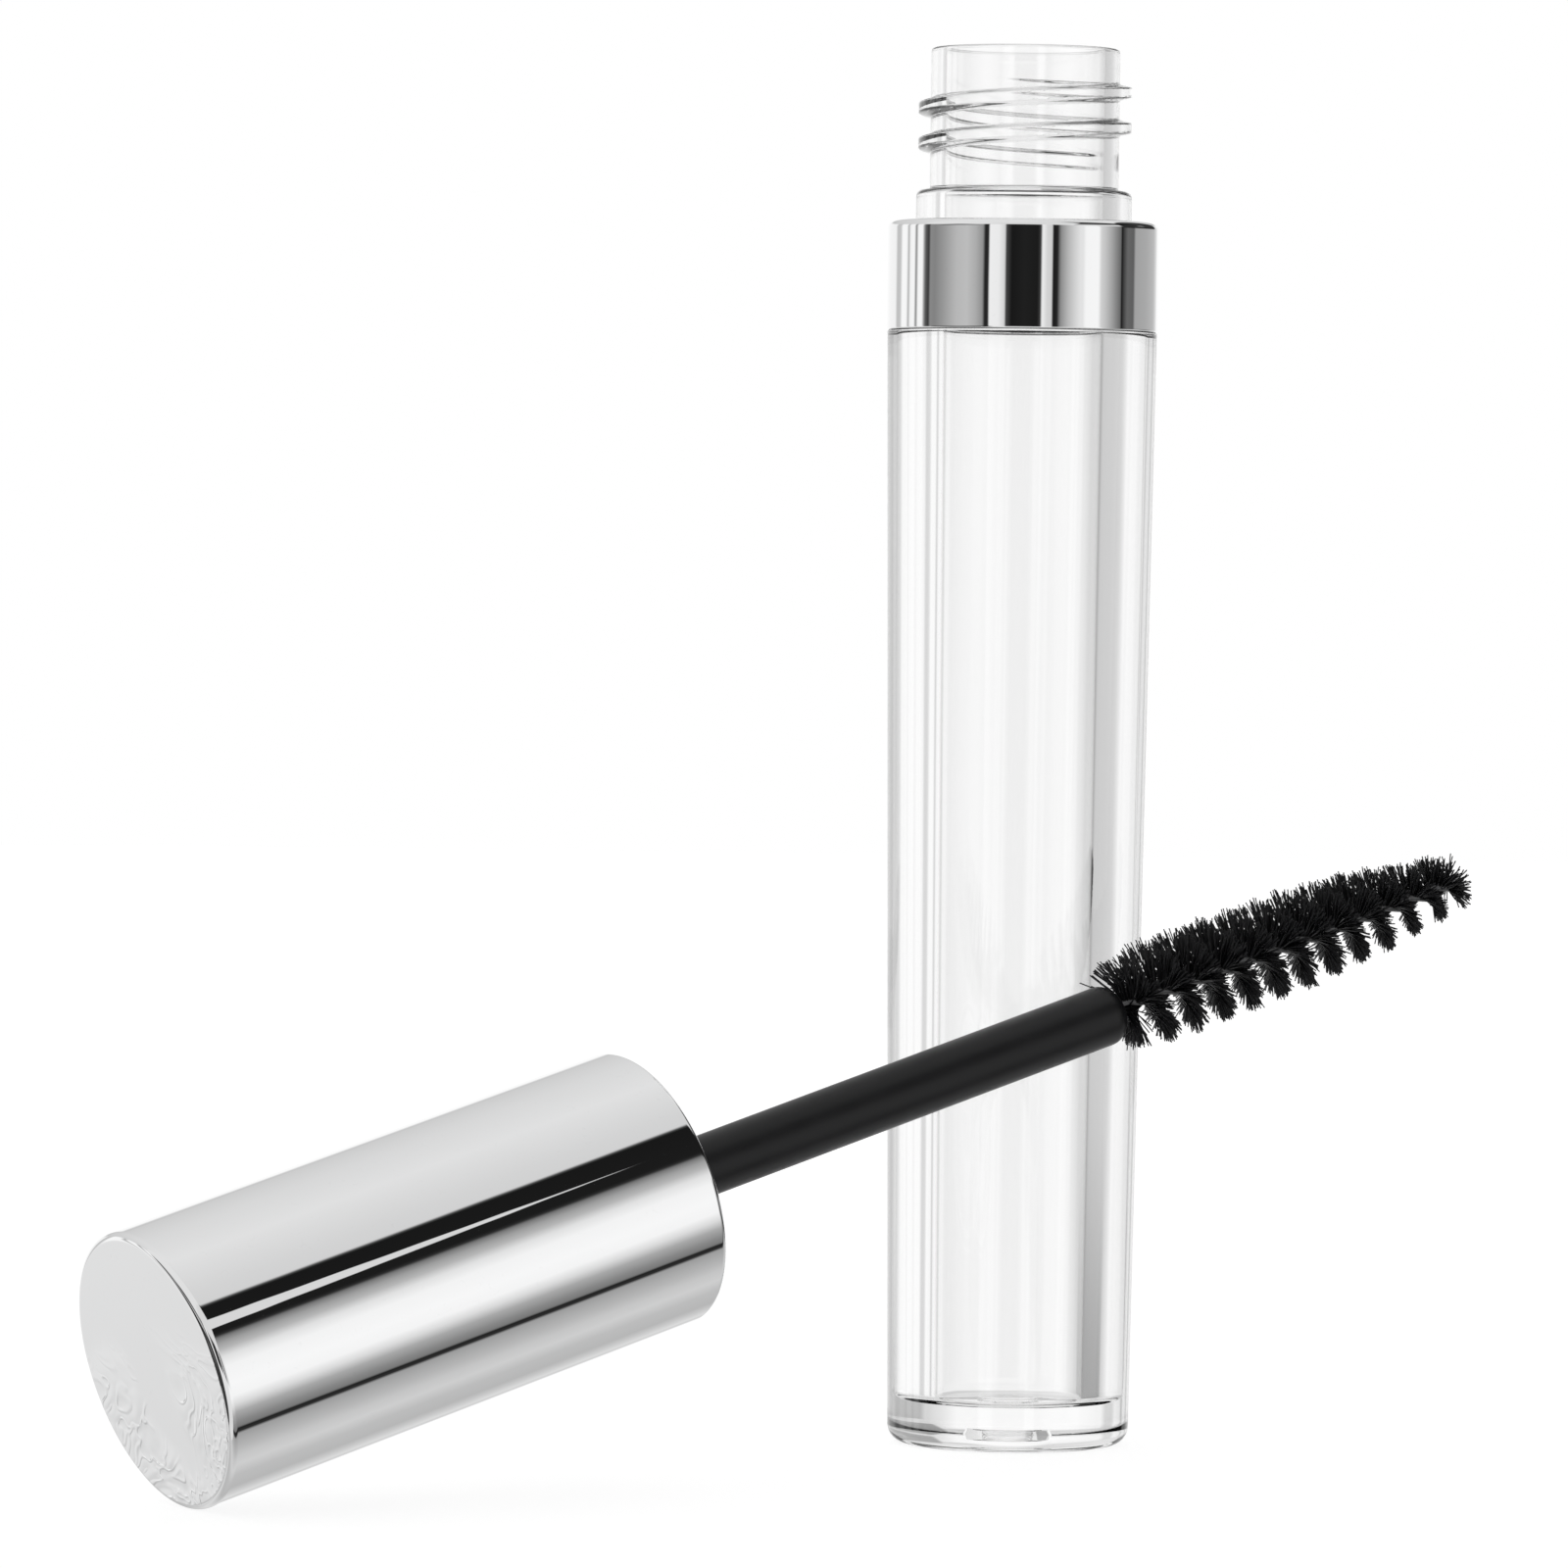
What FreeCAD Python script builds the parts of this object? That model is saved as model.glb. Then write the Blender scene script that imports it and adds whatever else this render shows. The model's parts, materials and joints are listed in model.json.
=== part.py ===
# Mascara tube, opened: the clear bottle stands on its base, with its axis along +Z and the centre of its
# foot at the origin, and the applicator (cap, stem and brush) leans in front of it with the rim of the
# cap's closed end on the same surface. All lengths are in millimetres and all angles in degrees.
import FreeCAD, Part
import Sketcher

import math
import os

# Driving dimensions. Heights on the bottle are above its foot. Distances on the applicator run along its
# own axis from the cap's closed end, and the pieces in it are placed by where the bottle's neck stops.
SIZES = {
    # clear bottle
    "bottle_top_diameter": 19.0,
    "bottle_base_diameter": 17.0,
    "bottle_body_height": 78.5,
    "bottle_base_round": 1.3,
    "bore_diameter": 11.2,
    "cavity_floor_diameter": 10.45,
    "cavity_floor_height": 3.0,
    "cavity_floor_round": 0.6,
    "floor_button_diameter": 4.2,
    "floor_button_height": 0.35,
    "foot_recess_diameter": 12.6,
    "foot_recess_depth": 0.4,
    "foot_recess_slope": 0.5,
    "gate_dimple_diameter": 4.3,
    "gate_dimple_depth": 0.9,
    "gate_dimple_slope": 0.3,
    "shoulder_diameter": 17.0,
    "shoulder_height": 6.9,
    "bead_diameter": 15.2,
    "bead_height": 2.2,
    "bead_round": 0.5,
    "neck_diameter": 13.3,
    "neck_length": 10.0,
    "neck_rim_round": 0.25,
    # neck thread
    "thread_pitch": 2.5,
    "thread_turns": 2.35,
    "thread_crest_diameter": 15.0,
    "thread_root_width": 1.2,
    "thread_crest_width": 0.7,
    "thread_drop_from_rim": 8.0,
    "thread_bite": 0.15,
    # metallised collar
    "collar_diameter": 19.1,
    "collar_height": 7.7,
    "collar_lip_diameter": 15.3,
    "collar_lip_thickness": 0.75,
    "collar_round": 0.5,
    # cap shell
    "cap_diameter": 19.0,
    "cap_length": 39.0,
    "cap_bore_diameter": 17.0,
    "cap_end_thickness": 1.0,
    "cap_end_round": 0.5,
    "cap_mouth_round": 0.4,
    # threaded liner in the cap
    "neck_reach": 12.2,
    "liner_mouth_inset": 0.2,
    "liner_pilot_diameter": 15.6,
    "liner_pilot_depth": 2.4,
    "liner_thread_major_diameter": 15.4,
    "liner_thread_minor_diameter": 13.7,
    "liner_thread_turns": 1.5,
    "liner_thread_root_width": 1.2,
    "liner_thread_crest_width": 0.6,
    "liner_thread_start": 2.6,
    "liner_web_thickness": 1.5,
    "stem_socket_depth": 10.0,
    "stem_socket_end_wall": 1.0,
    "stem_socket_outer_diameter": 8.0,
    # seal washer
    "washer_diameter": 13.4,
    "washer_hole_diameter": 4.4,
    "washer_thickness": 1.0,
    "washer_gap": 0.05,
    # wiper
    "wiper_flange_diameter": 13.2,
    "wiper_flange_thickness": 0.7,
    "wiper_barrel_diameter": 11.0,
    "wiper_bore_diameter": 9.2,
    "wiper_barrel_length": 6.7,
    "wiper_cone_length": 4.6,
    "wiper_orifice_diameter": 4.4,
    "wiper_lip_thickness": 0.55,
    # stem
    "stem_diameter": 4.2,
    "stem_visible_length": 39.5,
    "stem_tip_round": 1.3,
    "wire_hole_depth": 8.0,
    # twisted wire core and bristles
    "wire_diameter": 1.2,
    "wire_tip_round": 0.35,
    "wire_tip_length": 0.6,
    "brush_gap": 0.4,
    "brush_length": 29.6,
    "brush_root_diameter": 5.6,
    "brush_wide_diameter": 7.6,
    "brush_mid_diameter": 7.2,
    "brush_taper_diameter": 5.4,
    "brush_tip_diameter": 3.0,
    "brush_wide_at": 1.6,
    "brush_mid_at": 15.0,
    "brush_taper_at": 23.0,
    # where the applicator lies: its heading from +X and its slope
    "cap_rest_x": -56.9,
    "cap_rest_y": -52.6,
    "applicator_heading": 32.1,
    "applicator_slope": 16.5,
}

doc = FreeCAD.newDocument("MascaraTube")


def fill_sheet():
    """Writes each driving dimension to its own cell of the sheet, under its name."""
    sheet = doc.addObject("Spreadsheet::Sheet", "Sizes")
    for row, (name, value) in enumerate(SIZES.items(), 1):
        sheet.set(f"A{row}", name)
        sheet.set(f"B{row}", str(value))
        sheet.setAlias(f"B{row}", name)
    doc.recompute()


class Size:
    """A length worked out from the sheet's cells: the expression that binds it, and its value now."""

    def __init__(self, text, value):
        self.text = text
        self.value = value

    def joined(self, other, sign, value):
        text = other.text if isinstance(other, Size) else str(other)
        return Size(f"({self.text} {sign} {text})", value)

    def __add__(self, other):
        return self.joined(other, "+", self.value + number(other))

    def __sub__(self, other):
        return self.joined(other, "-", self.value - number(other))

    def __mul__(self, other):
        return self.joined(other, "*", self.value * number(other))

    def __truediv__(self, other):
        return self.joined(other, "/", self.value / number(other))


def number(length):
    return length.value if isinstance(length, Size) else float(length)


def cell(name):
    """The length in one cell of the sheet."""
    return Size(f"Sizes.{name}", SIZES[name])


def radius(name):
    """Half of a diameter in the sheet."""
    return cell(name) / 2


ZERO = Size("0", 0.0)


def new_sketch(body, name):
    """A sketch on the body's own XZ plane, whose vertical axis is the piece's axis."""
    plane = next(f for f in body.Origin.OriginFeatures if f.Role == "XZ_Plane")
    sketch = body.newObject("Sketcher::SketchObject", name)
    sketch.AttachmentSupport = [(plane, "")]
    sketch.MapMode = "FlatFace"
    return sketch


def draw_outline(sketch, corners):
    """Draws a closed outline of straight lines through corners (radius, height), each bound to the sheet."""
    count = len(corners)
    points = [FreeCAD.Vector(across.value, up.value, 0) for across, up in corners]
    for n in range(count):
        sketch.addGeometry(Part.LineSegment(points[n], points[(n + 1) % count]))
    for n in range(count):
        sketch.addConstraint(Sketcher.Constraint("Coincident", n, 2, (n + 1) % count, 1))
    for n, (across, up) in enumerate(corners):
        for length, kind, axis, letter in ((across, "DistanceX", -2, "across"), (up, "DistanceY", -1, "up")):
            if length.value == 0:
                sketch.addConstraint(Sketcher.Constraint("PointOnObject", n, 1, axis))
                continue
            made = sketch.addConstraint(Sketcher.Constraint(kind, -1, 1, n, 1, length.value))
            sketch.renameConstraint(made, f"corner{n}_{letter}")
            sketch.setExpression(f"Constraints.corner{n}_{letter}", length.text)


def turned_body(label, corners):
    """A body turned once round its own Z axis from an outline of (radius, height) corners."""
    body = doc.addObject("PartDesign::Body", label)
    body.Label = label
    sketch = new_sketch(body, f"{label}_outline")
    draw_outline(sketch, corners)
    turn = body.newObject("PartDesign::Revolution", f"{label}_turned")
    turn.Profile = sketch
    turn.ReferenceAxis = (sketch, ["V_Axis"])
    turn.Angle = 360
    doc.recompute()
    return body


def round_edge(body, name, across, up, amount):
    """Rounds the circular edge that lies at this radius and height."""
    base = body.Tip
    found = []
    for n, edge in enumerate(base.Shape.Edges, 1):
        if not isinstance(edge.Curve, Part.Circle):
            continue
        on_radius = abs(edge.Curve.Radius - across.value) < 1e-4
        at_height = abs(edge.Curve.Center.z - up.value) < 1e-4
        if on_radius and at_height:
            found.append(f"Edge{n}")
    if not found:
        raise RuntimeError(f"{body.Label} has no edge for {name}")
    fillet = body.newObject("PartDesign::Fillet", f"{body.Label}_{name}")
    fillet.Base = (base, found)
    fillet.setExpression("Radius", amount.text)
    doc.recompute()


def wind_ridge(body, name, corners, pitch, turns):
    """Adds a right-hand helical ridge whose section is the outline of (radius, height) corners."""
    before = body.Shape.Volume
    sketch = new_sketch(body, f"{body.Label}_{name}_section")
    draw_outline(sketch, corners)
    ridge = body.newObject("PartDesign::AdditiveHelix", f"{body.Label}_{name}")
    ridge.Profile = sketch
    ridge.ReferenceAxis = (sketch, ["V_Axis"])
    ridge.Mode = "pitch-height-angle"
    ridge.HasBeenEdited = True
    ridge.setExpression("Pitch", pitch.text)
    ridge.setExpression("Height", (pitch * turns).text)
    doc.recompute()
    if body.Shape.Volume <= before:
        raise RuntimeError(f"{name} added nothing to {body.Label}")


def ridge_section(wall, crest, middle, root_width, crest_width, bite):
    """A tapered ridge from just inside a wall's radius to its crest's radius, centred on a height."""
    return [
        (wall - bite, middle - root_width / 2),
        (wall, middle - root_width / 2),
        (crest, middle - crest_width / 2),
        (crest, middle + crest_width / 2),
        (wall, middle + root_width / 2),
        (wall - bite, middle + root_width / 2),
    ]


def make_bottle():
    """The thick-walled clear bottle: tapered body, stepped shoulder, bead and threaded neck in one."""
    body_top = cell("bottle_body_height")
    shoulder_top = body_top + cell("shoulder_height")
    collar_top = body_top + cell("collar_height")
    bead_top = collar_top + cell("bead_height")
    rim = bead_top + cell("neck_length")
    recess = cell("foot_recess_depth")
    dimple = recess + cell("gate_dimple_depth")
    floor = cell("cavity_floor_height")
    button = floor + cell("floor_button_height")
    bottle = turned_body("bottle", [
        (ZERO, dimple),
        (radius("gate_dimple_diameter") - cell("gate_dimple_slope"), dimple),
        (radius("gate_dimple_diameter"), recess),
        (radius("foot_recess_diameter") - cell("foot_recess_slope"), recess),
        (radius("foot_recess_diameter"), ZERO),
        (radius("bottle_base_diameter"), ZERO),
        (radius("bottle_top_diameter"), body_top),
        (radius("shoulder_diameter"), body_top),
        (radius("shoulder_diameter"), shoulder_top),
        (radius("bead_diameter"), shoulder_top),
        (radius("bead_diameter"), bead_top),
        (radius("neck_diameter"), bead_top),
        (radius("neck_diameter"), rim),
        (radius("bore_diameter"), rim),
        (radius("bore_diameter"), body_top),
        (radius("cavity_floor_diameter"), floor),
        (radius("floor_button_diameter"), floor),
        (radius("floor_button_diameter"), button),
        (ZERO, button),
    ])
    round_edge(bottle, "base_round", radius("bottle_base_diameter"), ZERO, cell("bottle_base_round"))
    round_edge(bottle, "bead_round", radius("bead_diameter"), bead_top, cell("bead_round"))
    round_edge(bottle, "rim_round", radius("neck_diameter"), rim, cell("neck_rim_round"))
    round_edge(bottle, "floor_round", radius("cavity_floor_diameter"), floor, cell("cavity_floor_round"))
    section = ridge_section(
        radius("neck_diameter"),
        radius("thread_crest_diameter"),
        rim - cell("thread_drop_from_rim"),
        cell("thread_root_width"),
        cell("thread_crest_width"),
        cell("thread_bite"),
    )
    wind_ridge(bottle, "thread", section, cell("thread_pitch"), cell("thread_turns"))
    return bottle


def make_collar():
    """The bright collar pressed over the bottle's shoulder, with an inward lip on top."""
    bottom = cell("bottle_body_height")
    top = bottom + cell("collar_height")
    lip = top - cell("collar_lip_thickness")
    collar = turned_body("collar", [
        (radius("shoulder_diameter"), bottom),
        (radius("collar_diameter"), bottom),
        (radius("collar_diameter"), top),
        (radius("collar_lip_diameter"), top),
        (radius("collar_lip_diameter"), lip),
        (radius("shoulder_diameter"), lip),
    ])
    round_edge(collar, "top_round", radius("collar_diameter"), top, cell("collar_round"))
    return collar


def make_cap_shell():
    """The bright outer cap: a plain tube with one closed end."""
    length = cell("cap_length")
    end = cell("cap_end_thickness")
    shell = turned_body("cap_shell", [
        (ZERO, ZERO),
        (radius("cap_diameter"), ZERO),
        (radius("cap_diameter"), length),
        (radius("cap_bore_diameter"), length),
        (radius("cap_bore_diameter"), end),
        (ZERO, end),
    ])
    round_edge(shell, "end_round", radius("cap_diameter"), ZERO, cell("cap_end_round"))
    round_edge(shell, "mouth_round", radius("cap_diameter"), length, cell("cap_mouth_round"))
    return shell


def seat_face():
    """Where the bottle's rim stops in the closed cap, against the wiper's flange."""
    return cell("cap_length") - cell("neck_reach")


def wiper_face():
    return seat_face() - cell("wiper_flange_thickness")


def web_face():
    """The liner's floor, which the seal washer lies against."""
    return wiper_face() - cell("washer_thickness") - cell("washer_gap") * 2


def make_cap_liner():
    """The threaded liner fixed in the cap, with a socket behind its web that holds the stem."""
    mouth = cell("cap_length") - cell("liner_mouth_inset")
    pilot = mouth - cell("liner_pilot_depth")
    web_back = web_face() - cell("liner_web_thickness")
    socket_end = web_face() - cell("stem_socket_depth")
    boss_end = socket_end - cell("stem_socket_end_wall")
    liner = turned_body("cap_liner", [
        (ZERO, boss_end),
        (radius("stem_socket_outer_diameter"), boss_end),
        (radius("stem_socket_outer_diameter"), web_back),
        (radius("cap_bore_diameter"), web_back),
        (radius("cap_bore_diameter"), mouth),
        (radius("liner_pilot_diameter"), mouth),
        (radius("liner_pilot_diameter"), pilot),
        (radius("liner_thread_major_diameter"), pilot),
        (radius("liner_thread_major_diameter"), seat_face()),
        (radius("liner_thread_minor_diameter"), seat_face()),
        (radius("liner_thread_minor_diameter"), web_face()),
        (radius("stem_diameter"), web_face()),
        (radius("stem_diameter"), socket_end),
        (ZERO, socket_end),
    ])
    # this ridge stands inward from the bore, so its bite into the wall points outward
    section = ridge_section(
        radius("liner_thread_major_diameter"),
        radius("liner_thread_minor_diameter"),
        seat_face() + cell("liner_thread_start"),
        cell("liner_thread_root_width"),
        cell("liner_thread_crest_width"),
        cell("thread_bite") * -1,
    )
    wind_ridge(liner, "thread", section, cell("thread_pitch"), cell("liner_thread_turns"))
    return liner


def make_seal_washer():
    """The soft washer that the neck's rim is screwed up against."""
    near = web_face() + cell("washer_gap")
    far = near + cell("washer_thickness")
    return turned_body("seal_washer", [
        (radius("washer_hole_diameter"), near),
        (radius("washer_diameter"), near),
        (radius("washer_diameter"), far),
        (radius("washer_hole_diameter"), far),
    ])


def make_wiper():
    """The wiper: a flanged cup that plugs the neck, with a cone down to an orifice round the stem."""
    flange_end = wiper_face() + cell("wiper_flange_thickness")
    barrel_end = flange_end + cell("wiper_barrel_length")
    lip = barrel_end + cell("wiper_cone_length")
    return turned_body("wiper", [
        (radius("wiper_bore_diameter"), wiper_face()),
        (radius("wiper_flange_diameter"), wiper_face()),
        (radius("wiper_flange_diameter"), flange_end),
        (radius("wiper_barrel_diameter"), flange_end),
        (radius("wiper_barrel_diameter"), barrel_end),
        (radius("wiper_orifice_diameter") + cell("wiper_lip_thickness"), lip),
        (radius("wiper_orifice_diameter"), lip),
        (radius("wiper_bore_diameter"), barrel_end),
    ])


def stem_tip():
    return cell("cap_length") + cell("stem_visible_length")


def make_stem():
    """The black stem, from its socket in the liner to its rounded tip, which is bored for the wire."""
    root = web_face() - cell("stem_socket_depth")
    hole_end = stem_tip() - cell("wire_hole_depth")
    stem = turned_body("stem", [
        (ZERO, root),
        (radius("stem_diameter"), root),
        (radius("stem_diameter"), stem_tip()),
        (radius("wire_diameter"), stem_tip()),
        (radius("wire_diameter"), hole_end),
        (ZERO, hole_end),
    ])
    round_edge(stem, "tip_round", radius("stem_diameter"), stem_tip(), cell("stem_tip_round"))
    return stem


def brush_root():
    return stem_tip() + cell("brush_gap")


def brush_tip():
    return brush_root() + cell("brush_length")


def make_wire_core():
    """The twisted wire that holds the bristles, as a round bar of its outside size."""
    root = stem_tip() - cell("wire_hole_depth")
    tip = brush_tip() + cell("wire_tip_length")
    wire = turned_body("wire_core", [
        (ZERO, root),
        (radius("wire_diameter"), root),
        (radius("wire_diameter"), tip),
        (ZERO, tip),
    ])
    round_edge(wire, "tip_round", radius("wire_diameter"), tip, cell("wire_tip_round"))
    return wire


def make_bristles():
    """The outside shape of the bristles: a tapering brush round the wire."""
    root = brush_root()
    return turned_body("bristles", [
        (radius("wire_diameter"), root),
        (radius("brush_root_diameter"), root),
        (radius("brush_wide_diameter"), root + cell("brush_wide_at")),
        (radius("brush_mid_diameter"), root + cell("brush_mid_at")),
        (radius("brush_taper_diameter"), root + cell("brush_taper_at")),
        (radius("brush_tip_diameter"), brush_tip()),
        (radius("wire_diameter"), brush_tip()),
    ])


def applicator_placement():
    """Turns the applicator's axis to its heading and slope, with the cap's rounded end rim on the floor."""
    slope = math.radians(SIZES["applicator_slope"])
    rim_round = SIZES["cap_end_round"]
    rim_centre = SIZES["cap_diameter"] / 2 - rim_round
    height = rim_centre * math.cos(slope) + rim_round - rim_round * math.sin(slope)
    turn = FreeCAD.Rotation(SIZES["applicator_heading"], 90 - SIZES["applicator_slope"], 0)
    return FreeCAD.Placement(FreeCAD.Vector(SIZES["cap_rest_x"], SIZES["cap_rest_y"], height), turn)


def check_document(pieces):
    """Stops the build if any object failed or any piece isn't one sound solid."""
    for item in doc.Objects:
        if {"Invalid", "Error"} & set(item.State):
            raise RuntimeError(f"{item.Label} failed: {item.State}")
    for piece in pieces:
        shape = piece.Shape
        if shape.isNull() or not shape.isValid() or len(shape.Solids) != 1:
            raise RuntimeError(f"{piece.Label} isn't one valid solid")


def main():
    fill_sheet()
    standing = [make_bottle(), make_collar()]
    makers = (
        make_cap_shell,
        make_cap_liner,
        make_seal_washer,
        make_wiper,
        make_stem,
        make_wire_core,
        make_bristles,
    )
    leaning = [make() for make in makers]
    for piece in leaning:
        piece.Placement = applicator_placement()
    doc.recompute()
    pieces = standing + leaning
    check_document(pieces)
    os.makedirs("parts", exist_ok=True)
    for piece in pieces:
        piece.Shape.exportStep(os.path.join("parts", f"{piece.Label}.step"))
        print(piece.Label, round(piece.Shape.Volume, 2), piece.Shape.BoundBox)


main()
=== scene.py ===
import json
import math

import bpy
import numpy as np
from bpy.props import FloatProperty, FloatVectorProperty, IntProperty, PointerProperty
from bpy.types import Operator, Panel, PropertyGroup
from mathutils import Matrix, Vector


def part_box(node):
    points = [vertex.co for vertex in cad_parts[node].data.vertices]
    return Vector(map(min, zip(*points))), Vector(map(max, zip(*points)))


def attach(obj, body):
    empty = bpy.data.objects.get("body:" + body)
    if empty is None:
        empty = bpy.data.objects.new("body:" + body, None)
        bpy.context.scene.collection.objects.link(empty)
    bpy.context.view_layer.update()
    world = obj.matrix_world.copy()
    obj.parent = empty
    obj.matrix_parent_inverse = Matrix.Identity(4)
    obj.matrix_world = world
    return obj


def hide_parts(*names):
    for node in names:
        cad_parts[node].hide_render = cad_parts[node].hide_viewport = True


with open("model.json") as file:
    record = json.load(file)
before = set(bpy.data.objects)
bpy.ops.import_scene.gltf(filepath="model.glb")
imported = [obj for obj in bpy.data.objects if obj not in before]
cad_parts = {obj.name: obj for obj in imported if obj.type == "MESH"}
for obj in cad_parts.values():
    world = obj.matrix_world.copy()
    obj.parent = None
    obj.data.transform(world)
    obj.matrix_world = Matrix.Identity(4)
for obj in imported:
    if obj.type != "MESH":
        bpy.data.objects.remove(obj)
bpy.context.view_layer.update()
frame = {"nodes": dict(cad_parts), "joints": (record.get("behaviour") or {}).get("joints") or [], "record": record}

bl_info = {
    "name": "Mascara tube",
    "version": (1, 0, 0),
    "blender": (4, 5, 0),
    "location": "View3D > Sidebar > Mascara",
    "description": "Builds a clear mascara bottle with its bright cap, stem and twisted-wire brush",
    "category": "Add Mesh",
}

MM = 0.001
SAME_RADIUS = 1e-7  # two radii closer than this, in metres, are one wall
HELD = {joint["name"]: joint for joint in frame["joints"]}
MOUNTS = {mount["name"]: mount for mount in frame["record"]["mounts"]}
CAP_END = np.array(HELD["cap_turn"]["pos_m"], float)
WAND_AXIS = np.array(HELD["cap_turn"]["axis"], float) / np.linalg.norm(HELD["cap_turn"]["axis"])
BOTTLE_AXIS = np.array([0.0, 0.0, 1.0])
BOTTLE_FOOT = np.zeros(3)
BOTTLE = (BOTTLE_FOOT, BOTTLE_AXIS)
WAND = (CAP_END, WAND_AXIS)
TWIST_HAND = 1  # the way the wire is wound: 1 is right-handed and -1 left-handed
WHITE, BLACK = (1, 1, 1, 1), (0, 0, 0, 1)


def basis_along(axis):
    """Three unit rows: one level and square to the axis, one square to both, and the axis itself."""
    level = np.cross(BOTTLE_AXIS, axis)
    if np.linalg.norm(level) < 1e-6:
        level = np.array([1.0, 0.0, 0.0])
    level = level / np.linalg.norm(level)
    return np.array([level, np.cross(axis, level), axis])


def reach(node, origin, axis):
    """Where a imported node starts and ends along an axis, and its smallest and largest radius about it."""
    mesh = frame["nodes"][node].data
    points = np.empty(len(mesh.vertices) * 3)
    mesh.vertices.foreach_get("co", points)
    offset = points.reshape(-1, 3) - origin
    along = offset @ axis
    radius = np.linalg.norm(offset - along[:, None] * axis, axis=1)
    return along.min(), along.max(), radius.min(), radius.max()


# ---------------------------------------------------------------- sizes and colours


def length(name, description, millimetres):
    """A length property whose default is given in millimetres."""
    return FloatProperty(
        name=name,
        description=description,
        default=millimetres * MM,
        precision=5,
        unit="LENGTH",
        subtype="DISTANCE",
    )


def colour(name, description, default):
    """A colour property."""
    return FloatVectorProperty(
        name=name, description=description, default=default, size=3, min=0.0, max=1.0, subtype="COLOR"
    )


class BottleSizes(PropertyGroup):
    base_radius: length("Base radius", "Outside radius of the bottle at its foot", 8.5)
    base_round: length("Base rounding", "Rounding round the bottle's foot", 1.3)
    recess_radius: length("Recess radius", "Radius of the shallow recess under the foot", 6.3)
    recess_depth: length("Recess depth", "Depth of the recess under the foot", 0.4)
    dimple_radius: length("Dimple radius", "Radius of the moulding dimple in the recess", 2.15)
    dimple_depth: length("Dimple depth", "Depth of the moulding dimple", 0.9)
    floor_radius: length("Floor radius", "Radius of the cavity at its floor", 5.225)
    floor_height: length("Floor height", "Height of the cavity's floor above the foot", 3.0)
    floor_round: length("Floor rounding", "Rounding round the cavity's floor", 0.6)
    button_radius: length("Button radius", "Radius of the raised button in the floor", 2.1)
    button_height: length("Button height", "Height of the raised button in the floor", 0.35)
    shoulder_radius: length("Shoulder radius", "Radius of the seat that holds the collar", 8.5)
    shoulder_height: length("Shoulder height", "Height of the collar's seat", 6.9)
    bead_radius: length("Bead radius", "Radius of the bead above the collar", 7.6)
    bead_height: length("Bead height", "Height of the bead above the collar", 2.2)
    neck_radius: length("Neck radius", "Radius of the neck between its threads", 6.65)
    collar_gap: length("Collar gap", "Gap between the collar and its seat", 0.01)
    collar_lip: length("Collar lip", "Thickness of the lip at the collar's top", 0.75)


class ThreadSizes(PropertyGroup):
    pitch: length("Pitch", "Rise of the thread in one turn", 2.5)
    crest_radius: length("Crest radius", "Radius of the bottle's thread at its crest", 7.5)
    root_width: length("Root width", "Width of the thread where it leaves the wall", 1.25)
    crest_width: length("Crest width", "Width of the thread at its crest", 0.65)
    drop: length("Drop from the rim", "How far below the rim the thread starts", 8.0)
    turns: FloatProperty(name="Turns", description="Turns of the bottle's thread", default=2.35, min=0.5)
    liner_crest_radius: length("Liner crest radius", "Radius of the liner's thread at its crest", 6.85)
    liner_start: length("Liner start", "How far past the wiper's flange the liner's thread starts", 2.6)
    liner_turns: FloatProperty(name="Liner turns", description="Turns of the liner's thread", default=1.5)


class CapSizes(PropertyGroup):
    wall: length("Cap wall", "Thickness of the cap shell's wall and end", 1.0)
    end_round: length("End rounding", "Rounding round the cap's closed end", 0.5)
    mouth_round: length("Mouth rounding", "Rounding round the cap's mouth", 0.4)
    socket_radius: length("Socket radius", "Outside radius of the socket that holds the stem", 4.0)
    web: length("Web", "Thickness of the web across the liner", 1.5)
    pilot_radius: length("Pilot radius", "Radius of the plain bore at the liner's mouth", 7.8)
    pilot_depth: length("Pilot depth", "Depth of the plain bore at the liner's mouth", 2.4)
    thread_bore: length("Thread bore", "Radius of the liner's bore behind its thread", 7.7)
    washer_gap: length("Washer gap", "Gap between the liner's web and the seal washer", 0.05)
    flange: length("Flange", "Thickness of the wiper's flange", 0.7)
    barrel_length: length("Barrel length", "Length of the wiper's barrel past its flange", 6.7)
    nozzle_wall: length("Nozzle wall", "Thickness of the wiper's wall at its orifice", 0.55)
    orifice: length("Orifice radius", "Radius of the wiper's orifice", 2.2)
    cup: length("Cup radius", "Radius inside the wiper's barrel", 4.6)
    barrel: length("Barrel radius", "Radius outside the wiper's barrel", 5.5)


class BrushSizes(PropertyGroup):
    strand_radius: length("Strand radius", "Radius of each of the two wire strands", 0.3)
    fibre_radius: length("Fibre radius", "Radius of one bristle fibre", 0.052)
    twist: length("Twist", "Length of one full twist of the wire", 4.9)
    fibres: IntProperty(
        name="Fibres", description="Fibres caught in the twisted wire", default=2600, min=100
    )
    tip_round: length("Stem tip rounding", "Rounding at the stem's tip", 1.3)


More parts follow.
